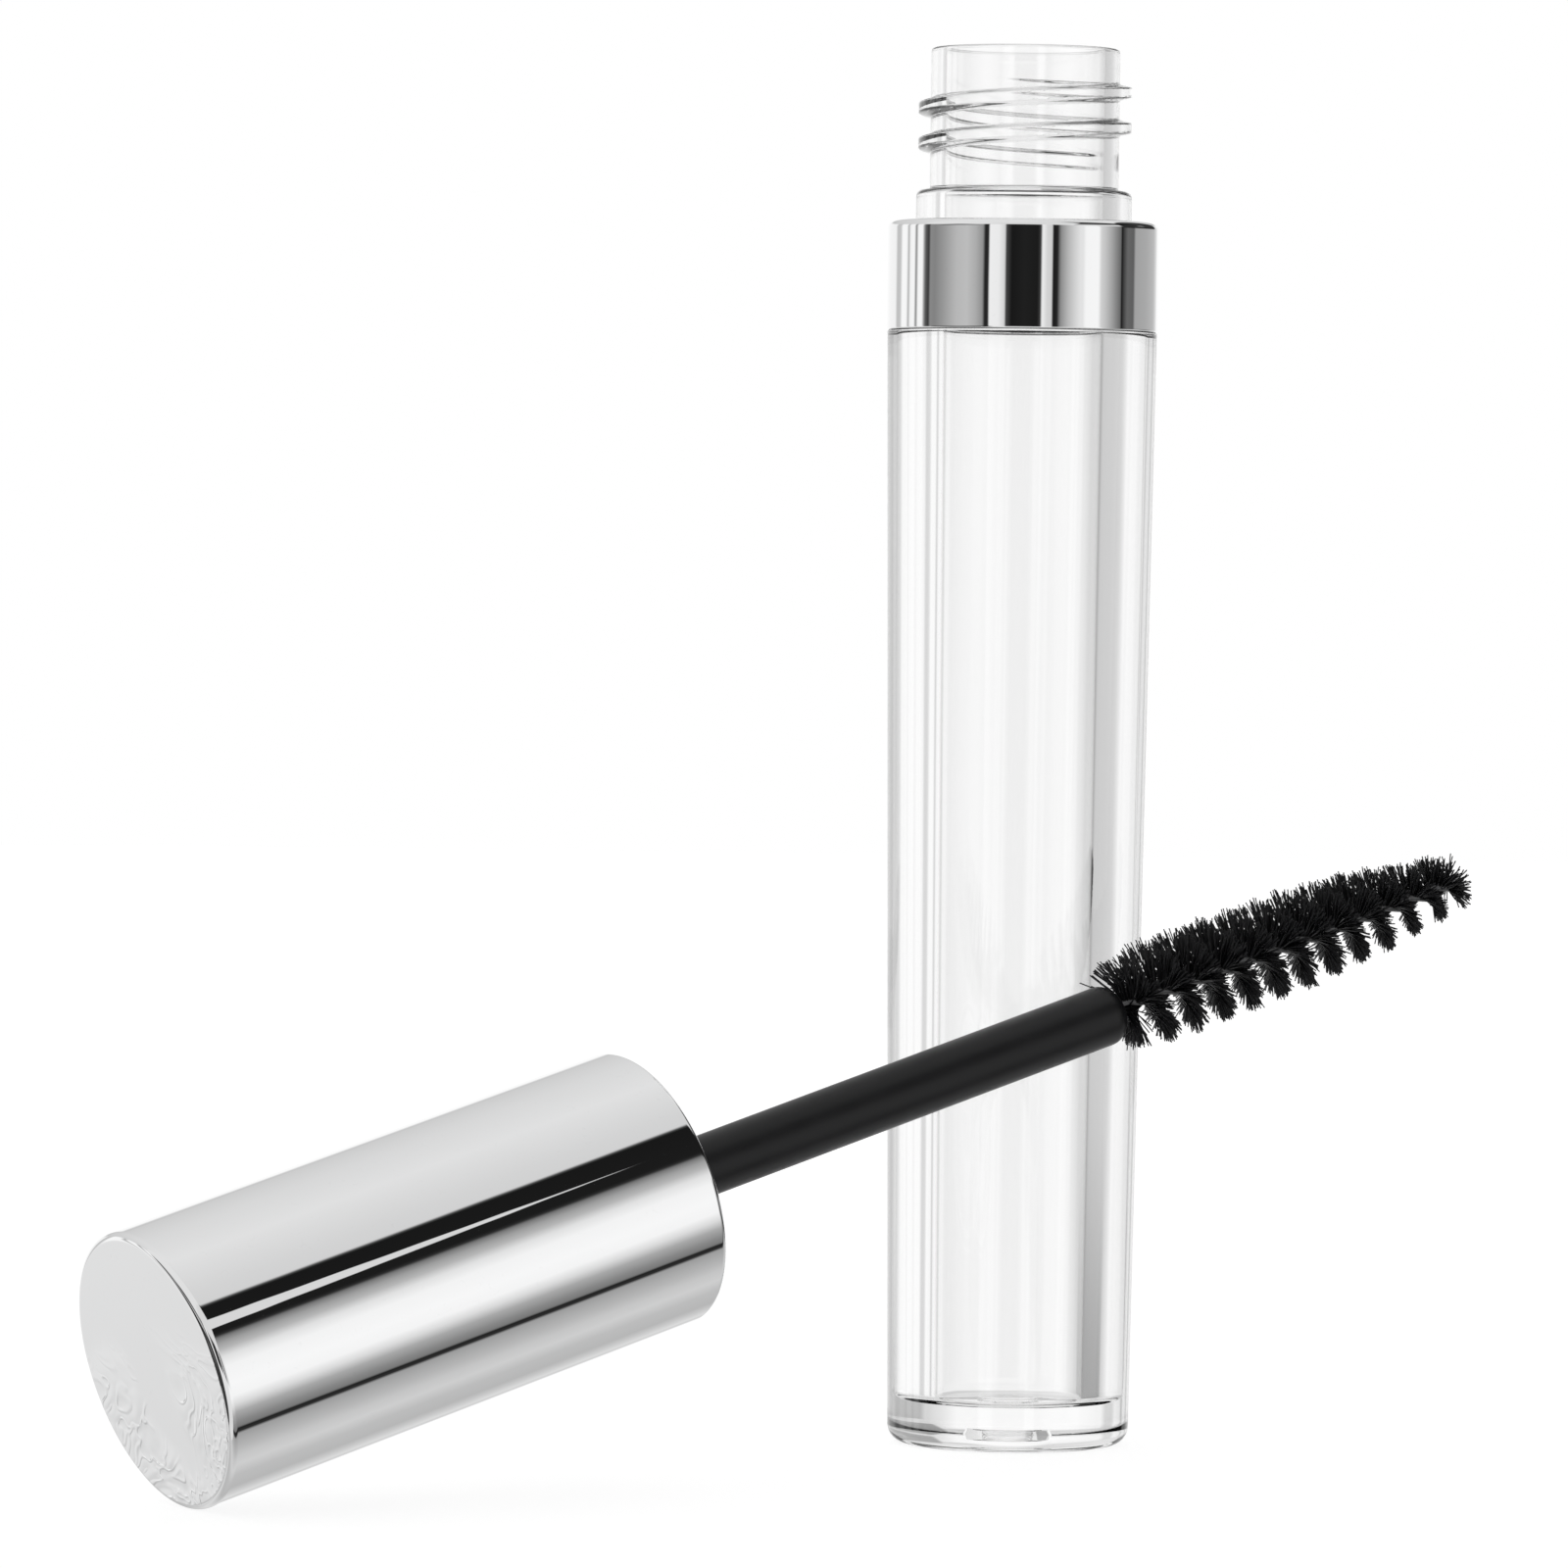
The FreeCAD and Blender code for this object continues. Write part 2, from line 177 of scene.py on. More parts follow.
class Finishes(PropertyGroup):
    clear: colour("Clear plastic", "Tint of the bottle's clear plastic", (0.99, 0.99, 0.99))
    bright: colour("Bright metal film", "Colour of the metallised cap and collar", (0.93, 0.932, 0.935))
    black: colour("Black plastic", "Colour of the stem", (0.006, 0.006, 0.0065))
    fibre: colour("Black nylon", "Colour of the bristles", (0.006, 0.006, 0.007))
    wire: colour("Steel wire", "Colour of the twisted wire", (0.55, 0.55, 0.56))
    liner: colour("White plastic", "Colour of the cap's liner", (0.84, 0.84, 0.83))
    seal: colour("Seal foam", "Colour of the seal washer", (0.88, 0.88, 0.86))
    wiper: colour("Wiper plastic", "Colour of the wiper", (0.8, 0.82, 0.83))


class TubeSettings(PropertyGroup):
    bottle: PointerProperty(type=BottleSizes)
    thread: PointerProperty(type=ThreadSizes)
    cap: PointerProperty(type=CapSizes)
    brush: PointerProperty(type=BrushSizes)
    finishes: PointerProperty(type=Finishes)


def settings():
    """The tube's sizes and colours, kept on the scene."""
    return bpy.context.scene.mascara_tube


# ---------------------------------------------------------------- surfaces


def rounded(corners, steps=8, support=0.04 * MM):
    """Points along an outline of corners (radius, height, rounding). A rounding turns its corner into an
    arc tangent to both sides, and a point just past each end of the arc keeps the sides' shading flat."""
    points = []
    count = len(corners)
    for n, (across, up, rounding) in enumerate(corners):
        here = np.array([across, up])
        if rounding == 0:
            points.append(here[None])
            continue
        back = np.array(corners[n - 1][:2]) - here
        ahead = np.array(corners[(n + 1) % count][:2]) - here
        back, ahead = back / np.linalg.norm(back), ahead / np.linalg.norm(ahead)
        half = math.acos(np.clip(back @ ahead, -1, 1)) / 2
        run = rounding / math.tan(half)
        middle = (back + ahead) / np.linalg.norm(back + ahead)
        centre = here + middle * rounding / math.sin(half)
        first, last = here + back * run - centre, here + ahead * run - centre
        share = np.linspace(0, 1, steps + 1)[:, None]
        sweep = math.pi - 2 * half
        arc = (np.sin((1 - share) * sweep) * first + np.sin(share * sweep) * last) / math.sin(sweep)
        before, after = here + back * (run + support), here + ahead * (run + support)
        points += [before[None], centre + arc, after[None]]
    return np.vstack(points)


def divided(outline, radius, spacing):
    """Divides the outline's straight runs at this radius into steps of about this spacing."""
    points = [outline[:1]]
    for start, end in zip(outline[:-1], outline[1:]):
        on_wall = abs(start[0] - radius) < SAME_RADIUS and abs(end[0] - radius) < SAME_RADIUS
        steps = max(1, round(np.linalg.norm(end - start) / spacing)) if on_wall else 1
        points.append(start + (end - start) * (np.arange(1, steps + 1) / steps)[:, None])
    return np.vstack(points)


def turned(outline, columns, swell=None):
    """Carries an outline round its axis: a point (r, h) goes to (r cos a, r sin a, h) at even angles a,
    and swell adds to r what it makes of r, h and a. Ends on the axis become poles, and an outline that
    keeps off the axis closes on itself."""
    poles = outline[0, 0] == 0
    ring = outline[1:-1] if poles else outline
    angle = np.arange(columns) * (2 * math.pi / columns)
    radius = np.repeat(ring[:, :1], columns, axis=1)
    height = np.repeat(ring[:, 1:], columns, axis=1)
    if swell:
        radius = radius + swell(radius, height, angle[None, :])
    points = np.stack([radius * np.cos(angle), radius * np.sin(angle), height], axis=-1).reshape(-1, 3)
    rows = len(ring)
    last = rows - 1 if poles else rows
    row, column = np.meshgrid(np.arange(last), np.arange(columns), indexing="ij")
    beside, below = (column + 1) % columns, (row + 1) % rows
    quads = np.stack([
        row * columns + column, row * columns + beside, below * columns + beside, below * columns + column,
    ], axis=-1).reshape(-1, 4)
    if not poles:
        return points, quads.tolist()
    turn = np.arange(columns)
    next_turn = (turn + 1) % columns
    top, bottom = rows * columns, rows * columns + 1
    first_fan = np.stack([np.full(columns, top), next_turn, turn], axis=-1)
    lowest = (rows - 1) * columns
    last_fan = np.stack([np.full(columns, bottom), lowest + turn, lowest + next_turn], axis=-1)
    ends = np.array([[0, 0, outline[0, 1]], [0, 0, outline[-1, 1]]])
    return np.vstack([points, ends]), quads.tolist() + first_fan.tolist() + last_fan.tolist()


def tube(path, radius, sides):
    """A closed tube round a path: at each point of the path a ring of even angles, square to the path,
    and a cap on each end."""
    never_ahead = WAND_AXIS + 0.3 * BOTTLE_AXIS
    heading = np.gradient(path, axis=0)
    heading /= np.linalg.norm(heading, axis=1)[:, None]
    side = np.cross(heading, never_ahead)
    side /= np.linalg.norm(side, axis=1)[:, None]
    other = np.cross(heading, side)
    angle = (np.arange(sides) * (2 * math.pi / sides))[None, :, None]
    rings = path[:, None] + radius * (np.cos(angle) * side[:, None] + np.sin(angle) * other[:, None])
    rows = len(path)
    row, column = np.meshgrid(np.arange(rows - 1), np.arange(sides), indexing="ij")
    beside = (column + 1) % sides
    quads = np.stack([
        row * sides + column, row * sides + beside, (row + 1) * sides + beside, (row + 1) * sides + column,
    ], axis=-1).reshape(-1, 4)
    caps = [list(range(sides))[::-1], [(rows - 1) * sides + n for n in range(sides)]]
    return rings.reshape(-1, 3), quads.tolist() + caps


def joined(surfaces):
    """Several closed surfaces as one list of points and one of faces."""
    points, faces, start = [], [], 0
    for surface_points, surface_faces in surfaces:
        points.append(surface_points)
        faces += [[corner + start for corner in face] for face in surface_faces]
        start += len(surface_points)
    return np.vstack(points), faces


def ridge(wall, crest, start, turns, fade):
    """How far a helical thread stands off its wall at each radius, height and angle: a flank that falls
    smoothly from the crest's width to the root's, along a helix from start for so many turns, eased in
    and out over fade turns at its two ends."""
    thread = settings().thread

    def swell(radius, height, angle):
        rise = start + thread.pitch * angle / (2 * math.pi)
        nearest = np.round((height - rise) / thread.pitch)
        off = np.abs(height - rise - nearest * thread.pitch)
        turn = nearest + angle / (2 * math.pi)
        ends = np.clip(np.minimum(turn, turns - turn) / fade, 0, 1)
        flank = (thread.root_width / 2 - off) / (thread.root_width - thread.crest_width) * 2
        flank = np.clip(flank, 0, 1)
        share = flank * flank * (3 - 2 * flank) * ends * ends * (3 - 2 * ends)
        return np.where(np.abs(radius - wall) < SAME_RADIUS, (crest - wall) * share, 0)

    return swell


def put(name, surface, material, body, slot, nodes, origin=BOTTLE_FOOT, axis=BOTTLE_AXIS):
    """Makes an object of a surface worked out on its own axis, carries its points to the axis's place in
    the frame, turns its faces outwards if they point in, parents it to its body's empty and hides the
    imported nodes it stands for."""
    points, faces = surface
    points = points @ basis_along(axis) + origin
    mesh = bpy.data.meshes.new(name)
    mesh.from_pydata(points, [], faces)
    mesh.validate()
    mesh.calc_loop_triangles()
    index = np.empty(len(mesh.loop_triangles) * 3, int)
    mesh.loop_triangles.foreach_get("vertices", index)
    a, b, c = (points[index.reshape(-1, 3)[:, n]] - points.mean(axis=0) for n in range(3))
    if np.einsum("ij,ij->i", a, np.cross(b, c)).sum() < 0:
        mesh.flip_normals()
    mesh.shade_smooth()
    mesh.materials.append(material)
    piece = bpy.data.objects.new(name, mesh)
    bpy.context.scene.collection.objects.link(piece)
    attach(piece, body)
    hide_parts(*nodes)
    return piece


# ---------------------------------------------------------------- materials


class Value:
    """A number that varies over a surface. Each operator on it adds the Math node that works it out."""

    def __init__(self, tree, socket):
        self.tree = tree
        self.socket = socket

    def math(self, operation, *numbers):
        return self.tree.add("ShaderNodeMath", {"operation": operation}, dict(enumerate(numbers)))

    def __add__(self, other):
        return self.math("ADD", self, other)

    def __radd__(self, other):
        return self.math("ADD", other, self)

    def __sub__(self, other):
        return self.math("SUBTRACT", self, other)

    def __rsub__(self, other):
        return self.math("SUBTRACT", other, self)

    def __mul__(self, other):
        return self.math("MULTIPLY", self, other)

    def __rmul__(self, other):
        return self.math("MULTIPLY", other, self)

    def __truediv__(self, other):
        return self.math("DIVIDE", self, other)

    def __rtruediv__(self, other):
        return self.math("DIVIDE", other, self)

    def at_least(self, other):
        return self.math("MAXIMUM", self, other)

    def size(self):
        return self.math("ABSOLUTE", self)

    def eased(self, low, high):
        """0 below low and 1 above high, with a smooth step between them."""
        given = {"Value": self, "From Min": low, "From Max": high}
        return self.tree.add("ShaderNodeMapRange", {"interpolation_type": "SMOOTHSTEP"}, given)

    def close_to(self, middle, near, far):
        """1 within near of the middle and 0 beyond far from it, with a smooth step between them."""
        return 1 - (self - middle).size().eased(near, far)


class NodeTree:
    """Adds nodes to a material's or the world's node tree."""

    def __init__(self, owner):
        owner.use_nodes = True
        self.tree = owner.node_tree
        self.tree.nodes.clear()

    def add(self, kind, options=None, given=None, output=0):
        """Adds a node, sets its options (a ramp's stops among them), then fills the given sockets with
        values or links, and returns one output."""
        node = self.tree.nodes.new(kind)
        for name, option in (options or {}).items():
            if name == "stops":
                self.set_stops(node.color_ramp, option)
            else:
                setattr(node, name, option)
        for name, value in (given or {}).items():
            socket = node.inputs[name]
            if isinstance(value, Value):
                self.tree.links.new(value.socket, socket)
            else:
                socket.default_value = value
        return Value(self, node.outputs[output]) if len(node.outputs) else node

    @staticmethod
    def set_stops(ramp, stops):
        """Gives a ramp its (place, grey level) stops."""
        while len(ramp.elements) > 1:
            ramp.elements.remove(ramp.elements[-1])
        for n, (place, level) in enumerate(stops):
            element = ramp.elements[0] if n == 0 else ramp.elements.new(place)
            element.position = place
            element.color = (level, level, level, 1)

    def place(self):
        """Where a point of the piece is, in metres."""
        return self.add("ShaderNodeTexCoord", output="Object")

    def noise(self, grain, detail=3.0, distortion=0.0, stretch=(1, 1, 1)):
        """Noise from 0 to 1 with patches about one grain wide, in metres, drawn out along each axis by
        the stretch."""
        scale = [1 / (grain * part) for part in stretch]
        where = self.add("ShaderNodeMapping", None, {"Vector": self.place(), "Scale": scale})
        given = {"Vector": where, "Scale": 1.0, "Detail": detail, "Distortion": distortion}
        return self.add("ShaderNodeTexNoise", None, given)

    def bump(self, height, distance):
        """A bent normal, for a height of 1 standing this distance off the surface."""
        return self.add("ShaderNodeBump", None, {"Height": height, "Distance": distance, "Strength": 1.0})

    def dot(self, direction, axis):
        """How far a direction or a place goes along an axis."""
        given = {0: direction, 1: tuple(axis)}
        return self.add("ShaderNodeVectorMath", {"operation": "DOT_PRODUCT"}, given, output="Value")

    def blend(self, factor, low, high):
        """One colour where the factor is 0 and another where it is 1."""
        return self.add("ShaderNodeMix", {"data_type": "RGBA"}, {0: factor, 6: low, 7: high}, output=2)

    def tint(self, factor, low, high):
        """A blend of two colours given without alpha."""
        return self.blend(factor, (*low, 1), (*high, 1))

    def finish(self, given):
        """Ends a material with the surface shader."""
        surface = self.add("ShaderNodeBsdfPrincipled", None, given)
        self.add("ShaderNodeOutputMaterial", None, {"Surface": surface})


def shade(tone, factor):
    """A colour made darker or lighter by a factor."""
    return tuple(part * factor for part in tone)


def new_material(name):
    """An empty material and its node tree."""
    material = bpy.data.materials.new(name)
    return material, NodeTree(material)


def clear_plastic():
    """Polished clear plastic: faint flow waves from moulding and a haze of fine rubbing marks."""
    material, tree = new_material("clear_plastic")
    waves = tree.noise(9 * MM, detail=1.0, stretch=(1, 1, 4))
    rubbed = tree.noise(0.35 * MM, detail=2.0, distortion=2.0, stretch=(1, 1, 7)).eased(0.68, 0.8)
    clear = settings().finishes.clear
    tree.finish({
        "Base Color": tree.tint(waves, shade(clear, 0.992), clear),
        "Roughness": rubbed * 0.03,
        "Normal": tree.bump(waves, 0.012 * MM),
        "IOR": 1.57,
        "Transmission Weight": 1.0,
    })
    return material


def bright_film(name, ripple=0.0):
    """Vacuum-metallised plastic: a mirror with a slow waviness, fine rubbing, and on the cap's closed end
    folds where the film has wrinkled, mostly low down."""
    material, tree = new_material(name)
    waves = tree.noise(6 * MM, detail=1.0)
    rubbed = tree.noise(0.5 * MM, detail=3.0, distortion=1.5).eased(0.6, 0.85)
    height = waves * 0.006
    if ripple:
        along = tree.dot(tree.place(), WAND_AXIS)
        near_end = 1 - (along - float(CAP_END @ WAND_AXIS)).eased(0.005 * MM, 0.03 * MM)
        rise = tree.add("ShaderNodeSeparateXYZ", None, {"Vector": tree.place()}, output="Z")
        low_on_end = near_end * (1 - (rise - float(CAP_END[2])).eased(-3 * MM, 4 * MM))
        folds = tree.noise(5.5 * MM, detail=1.0, distortion=3.0)
        creases = folds.close_to(0.5, 0.0, 0.06)
        patches = tree.noise(8 * MM, detail=0.0).eased(0.32, 0.5)
        height = height + low_on_end * patches * (creases * 0.4 + folds * 2) * ripple
    bright = settings().finishes.bright
    tree.finish({
        "Base Color": tree.tint(rubbed, bright, shade(bright, 0.965)),
        "Roughness": rubbed * 0.05 + 0.012,
        "Normal": tree.bump(height, 1 * MM),
        "Metallic": 1.0,
    })
    return material


def black_plastic():
    """Satin black moulded plastic with a fine even texture and a few duller streaks along it."""
    material, tree = new_material("black_plastic")
    texture = tree.noise(0.12 * MM, detail=4.0)
    streaks = tree.noise(2.5 * MM, detail=2.0)
    black = settings().finishes.black
    tree.finish({
        "Base Color": tree.tint(streaks, shade(black, 0.8), shade(black, 1.4)),
        "Roughness": streaks * 0.12 + 0.3,
        "Normal": tree.bump(texture, 0.004 * MM),
        "Specular IOR Level": 0.3,
    })
    return material


def nylon_fibre():
    """Black nylon fibre, a little lighter in some tufts than in others."""
    material, tree = new_material("nylon_fibre")
    tufts = tree.noise(0.6 * MM, detail=2.0)
    fibre = settings().finishes.fibre
    tree.finish({
        "Base Color": tree.tint(tufts, shade(fibre, 0.6), shade(fibre, 1.6)),
        "Roughness": tufts * 0.2 + 0.35,
        "Specular IOR Level": 0.35,
    })
    return material


def steel_wire():
    """Drawn steel wire, dark along the brush and bright where its end is cut."""
    material, tree = new_material("steel_wire")
    drawn = tree.noise(0.2 * MM, detail=3.0)
    wire = settings().finishes.wire
    tip = float(CAP_END @ WAND_AXIS) + reach("wire_core", *WAND)[1]
    cut = (tree.dot(tree.place(), WAND_AXIS) - tip).eased(-1.1 * MM, -0.9 * MM)
    tree.finish({
        "Base Color": tree.tint(cut * 0.8 + drawn * 0.2, shade(wire, 0.12), wire),
        "Roughness": drawn * 0.15 + 0.25,
        "Normal": tree.bump(drawn, 0.004 * MM),
        "Metallic": 1.0,
    })
    return material


def white_plastic():
    """Natural white moulded plastic with a soft uneven gloss."""
    material, tree = new_material("white_plastic")
    mottle = tree.noise(3 * MM, detail=3.0)
    grain = tree.noise(0.15 * MM, detail=3.0)
    white = settings().finishes.liner
    tree.finish({
        "Base Color": tree.tint(mottle, shade(white, 0.94), white),
        "Roughness": mottle * 0.15 + 0.33,
        "Normal": tree.bump(grain, 0.004 * MM),
        "Subsurface Weight": 0.15,
        "Subsurface Radius": (0.8 * MM, 0.8 * MM, 0.8 * MM),
    })
    return material


def seal_foam():
    """Fine closed-cell foam: small pits in a dull surface."""
    material, tree = new_material("seal_foam")
    cells = tree.add("ShaderNodeTexVoronoi", None, {"Vector": tree.place(), "Scale": 1 / (0.3 * MM)})
    foam = settings().finishes.seal
    tree.finish({
        "Base Color": tree.tint(cells, shade(foam, 0.85), foam),
        "Roughness": cells * 0.1 + 0.75,
        "Normal": tree.bump(cells, 0.03 * MM),
    })
    return material


def wiper_plastic():
    """Soft translucent plastic, cloudy where it is thick."""
    material, tree = new_material("wiper_plastic")
    cloud = tree.noise(2 * MM, detail=2.0)
    soft = settings().finishes.wiper
    tree.finish({
        "Base Color": tree.tint(cloud, shade(soft, 0.93), soft),
        "Roughness": cloud * 0.1 + 0.28,
        "Normal": tree.bump(cloud, 0.01 * MM),
        "Subsurface Weight": 0.4,
        "Subsurface Radius": (1.2 * MM, 1.2 * MM, 1.2 * MM),
    })
    return material


# ---------------------------------------------------------------- pieces


class MASCARA_OT_bottle(Operator):
    """Adds the clear bottle: tapered body, cavity, collar seat, bead and threaded neck in one wall"""

    bl_idname = "mascara.bottle"
    bl_label = "Bottle"

    def execute(self, context):
        size = settings().bottle
        thread = settings().thread
        _, rim, _, _ = reach("bottle", *BOTTLE)
        body_top, collar_top, _, _ = reach("collar", *BOTTLE)
        top_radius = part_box("bottle")[1][0]
        bore = MOUNTS["mouth"]["dims"]["r_mm"] * MM
        bead_top = collar_top + size.bead_height
        shoulder_top = body_top + size.shoulder_height
        dimple = size.recess_depth + size.dimple_depth
        button = size.floor_height + size.button_height
        edge, fine = 0.12 * MM, 0.05 * MM
        dimple_slope, recess_slope = 0.3 * MM, 0.5 * MM
        outline = rounded([
            (0, dimple, 0),
            (size.dimple_radius - dimple_slope, dimple, edge),
            (size.dimple_radius, size.recess_depth, edge),
            (size.recess_radius - recess_slope, size.recess_depth, edge),
            (size.recess_radius, 0, edge),
            (size.base_radius, 0, size.base_round),
            (top_radius, body_top, edge),
            (size.shoulder_radius, body_top, fine),
            (size.shoulder_radius, shoulder_top, edge),
            (size.bead_radius, shoulder_top, fine),
            (size.bead_radius, bead_top, 0.5 * MM),
            (size.neck_radius, bead_top, 0.2 * MM),
            (size.neck_radius, rim, 0.25 * MM),
            (bore, rim, 0.15 * MM),
            (bore, body_top, 0.5 * MM),
            (size.floor_radius, size.floor_height, size.floor_round),
            (size.button_radius, size.floor_height, fine),
            (size.button_radius, button, edge),
            (0, button, 0),
        ])
        outline = divided(outline, size.neck_radius, spacing=0.06 * MM)
        swell = ridge(size.neck_radius, thread.crest_radius, rim - thread.drop, thread.turns, fade=0.3)
        bottle = put("clear_bottle", turned(outline, columns=256, swell=swell), clear_plastic(),
                     "bottle", "clear_plastic", ["bottle"])
        bottle.visible_shadow = False  # or clear walls would shade the floor as if they were solid
        return {"FINISHED"}


class MASCARA_OT_collar(Operator):
    """Adds the bright collar pressed over the bottle's shoulder"""

    bl_idname = "mascara.collar"
    bl_label = "Collar"

    def execute(self, context):
        bottom, top, inner, outer = reach("collar", *BOTTLE)
        size = settings().bottle
        seat = size.shoulder_radius + size.collar_gap
        lip = top - size.collar_lip
        outline = rounded([
            (seat, bottom, 0.1 * MM),
            (outer, bottom, 0.15 * MM),
            (outer, top, 0.5 * MM),
            (inner, top, 0.12 * MM),
            (inner, lip, 0.08 * MM),
            (seat, lip, 0.08 * MM),
        ])
        put("bright_collar", turned(outline, columns=256), bright_film("bright_collar"),
            "bottle", "metallised_plastic", ["collar"])
        return {"FINISHED"}


class MASCARA_OT_cap_shell(Operator):
    """Adds the bright cap shell, a tube with one closed end"""

    bl_idname = "mascara.cap_shell"
    bl_label = "Cap shell"

    def execute(self, context):
        size = settings().cap
        _, mouth, _, outer = reach("cap_shell", *WAND)
        inner = outer - size.wall
        outline = rounded([
            (0, 0, 0),
            (outer, 0, size.end_round),
            (outer, mouth, size.mouth_round),
            (inner, mouth, 0.1 * MM),
            (inner, size.wall, 0.3 * MM),
            (0, size.wall, 0),
        ])
        put("bright_cap", turned(outline, columns=256), bright_film("bright_cap", ripple=0.05),
            "applicator", "metallised_plastic", ["cap_shell"], *WAND)
        return {"FINISHED"}


class MASCARA_OT_cap_liner(Operator):
    """Adds the white threaded liner inside the cap, with the socket that holds the stem"""

    bl_idname = "mascara.cap_liner"
    bl_label = "Cap liner"

    def execute(self, context):
        size = settings().cap
        thread = settings().thread
        boss_end, mouth, _, outer = reach("cap_liner", *WAND)
        socket_end, _, _, stem = reach("stem", *WAND)
        wiper, _, _, _ = reach("wiper", *WAND)
        washer, _, _, _ = reach("seal_washer", *WAND)
        bore, crest = size.thread_bore, thread.liner_crest_radius
        web_face = washer - size.washer_gap
        web_back = web_face - size.web
        seat = wiper + size.flange
        pilot = mouth - size.pilot_depth
        inside, fine = 0.1 * MM, 0.04 * MM
        outline = rounded([
            (0, boss_end, 0),
            (size.socket_radius, boss_end, 0.2 * MM),
            (size.socket_radius, web_back, 0.3 * MM),
            (outer, web_back, 0.2 * MM),
            (outer, mouth, 0.15 * MM),
            (size.pilot_radius, mouth, 0.12 * MM),
            (size.pilot_radius, pilot, fine),
            (bore, pilot, fine),
            (bore, seat, inside),
            (crest, seat, inside),
            (crest, web_face, inside),
            (stem, web_face, inside),
            (stem, socket_end, inside),
            (0, socket_end, 0),
        ])
        outline = divided(outline, bore, spacing=0.08 * MM)
        swell = ridge(bore, crest, seat + thread.liner_start, thread.liner_turns, fade=0.1)
        put("cap_liner_moulding", turned(outline, columns=160, swell=swell), white_plastic(),
            "applicator", "liner_plastic", ["cap_liner"], *WAND)
        return {"FINISHED"}


class MASCARA_OT_seal_washer(Operator):
    """Adds the soft seal washer that lies against the liner's web"""

    bl_idname = "mascara.seal_washer"
    bl_label = "Seal washer"

    def execute(self, context):
        near, far, inner, outer = reach("seal_washer", *WAND)
        soft = 0.15 * MM
        corners = [(inner, near, soft), (outer, near, soft), (outer, far, soft), (inner, far, soft)]
        put("seal_ring", turned(rounded(corners), columns=128), seal_foam(),
            "seal", "seal_foam", ["seal_washer"], *WAND)
        return {"FINISHED"}


class MASCARA_OT_wiper(Operator):
    """Adds the wiper, a flanged cup with a cone down to its orifice"""

    bl_idname = "mascara.wiper"
    bl_label = "Wiper"

    def execute(self, context):
        size = settings().cap
        start, lip, _, flange = reach("wiper", *WAND)
        flange_end = start + size.flange
        barrel_end = flange_end + size.barrel_length
        edge, lip_edge = 0.15 * MM, 0.12 * MM
        outline = rounded([
            (size.cup, start, edge),
            (flange, start, edge),
            (flange, flange_end, edge),
            (size.barrel, flange_end, 0.1 * MM),
            (size.barrel, barrel_end, 0.5 * MM),
            (size.orifice + size.nozzle_wall, lip, lip_edge),
            (size.orifice, lip, lip_edge),
            (size.cup, barrel_end, 0.6 * MM),
        ])
        put("soft_wiper", turned(outline, columns=160), wiper_plastic(),
            "wiper", "wiper_plastic", ["wiper"], *WAND)
        return {"FINISHED"}


class MASCARA_OT_stem(Operator):
    """Adds the black stem with its rounded tip, bored for the wire"""

    bl_idname = "mascara.stem"
    bl_label = "Stem"

    def execute(self, context):
        root, tip, _, radius = reach("stem", *WAND)
        hole_end, _, _, wire = reach("wire_core", *WAND)
        edge = 0.1 * MM
        outline = rounded([
            (0, root, 0),
            (radius, root, edge),
            (radius, tip, settings().brush.tip_round),
            (wire, tip, edge),
            (wire, hole_end, edge),
            (0, hole_end, 0),
        ], steps=14)
        put("black_stem", turned(outline, columns=128), black_plastic(),
            "applicator", "black_plastic", ["stem"], *WAND)
        return {"FINISHED"}


def twisted(along):
    """The angle of the wire's twist at distances along the wand."""
    return TWIST_HAND * 2 * math.pi * along / settings().brush.twist


class MASCARA_OT_wire(Operator):
    """Adds the twisted wire, two strands wound round each other"""

    bl_idname = "mascara.wire"
    bl_label = "Twisted wire"

    def execute(self, context):
        size = settings().brush
        root, tip, _, _ = reach("wire_core", *WAND)
        steps, sides = 280, 12
        along = np.linspace(root + 0.1 * MM, tip, steps)
        angle = twisted(along)
        strands = []
        for half_turn in (0.0, math.pi):
            across = size.strand_radius * np.cos(angle + half_turn)
            up = size.strand_radius * np.sin(angle + half_turn)
            strands.append(tube(np.stack([across, up, along], axis=-1), size.strand_radius, sides))
        put("twisted_wire", joined(strands), steel_wire(),
            "applicator", "steel_wire", ["wire_core"], *WAND)
        return {"FINISHED"}


# the brush as trimmed, in millimetres: distances from its root, and how far the fibres reach there
BRUSH_TRIM = [(0, 3.2), (1.6, 3.8), (15.0, 3.75), (23.0, 3.1), (29.6, 2.1)]


def fibre_ends(chance, along, root, tip, half_turn):
    """For the fibres' ends on one side of the wire: the angle each points at, how far out it reaches, how
    far it leans towards the tip, and how much it curls sideways. The ends are in disorder near the brush's
    root, where they lie back over the stem, and near its tip, where they lean forwards."""
    count = len(along)
    near_root = np.exp(-(along - root) / (1.6 * MM))
    near_tip = np.exp(-(tip - along) / (1.0 * MM))
    scatter = 0.13 + 0.4 * near_root + 0.6 * near_tip
    angle = twisted(along) + half_turn + chance.normal(0, 1, count) * scatter
    distances, reaches = np.array(BRUSH_TRIM).T * MM
    trimmed = np.interp(along, distances + root, reaches)
    fuller_above = 1 + 0.1 * np.sin(angle)
    uneven = 1.03 - 0.2 * chance.random(count) ** 0.6
    mostly_above = 0.55 + 0.45 * np.sin(angle)
    sprayed = near_root * mostly_above * (0.2 + 0.8 * chance.random(count))
    lean = chance.normal(0, 0.16 * MM, count) - sprayed * 2 * MM + near_tip * 0.8 * MM
    curl = chance.normal(0, 0.1, count)
    return angle, trimmed * fuller_above * uneven, lean, curl


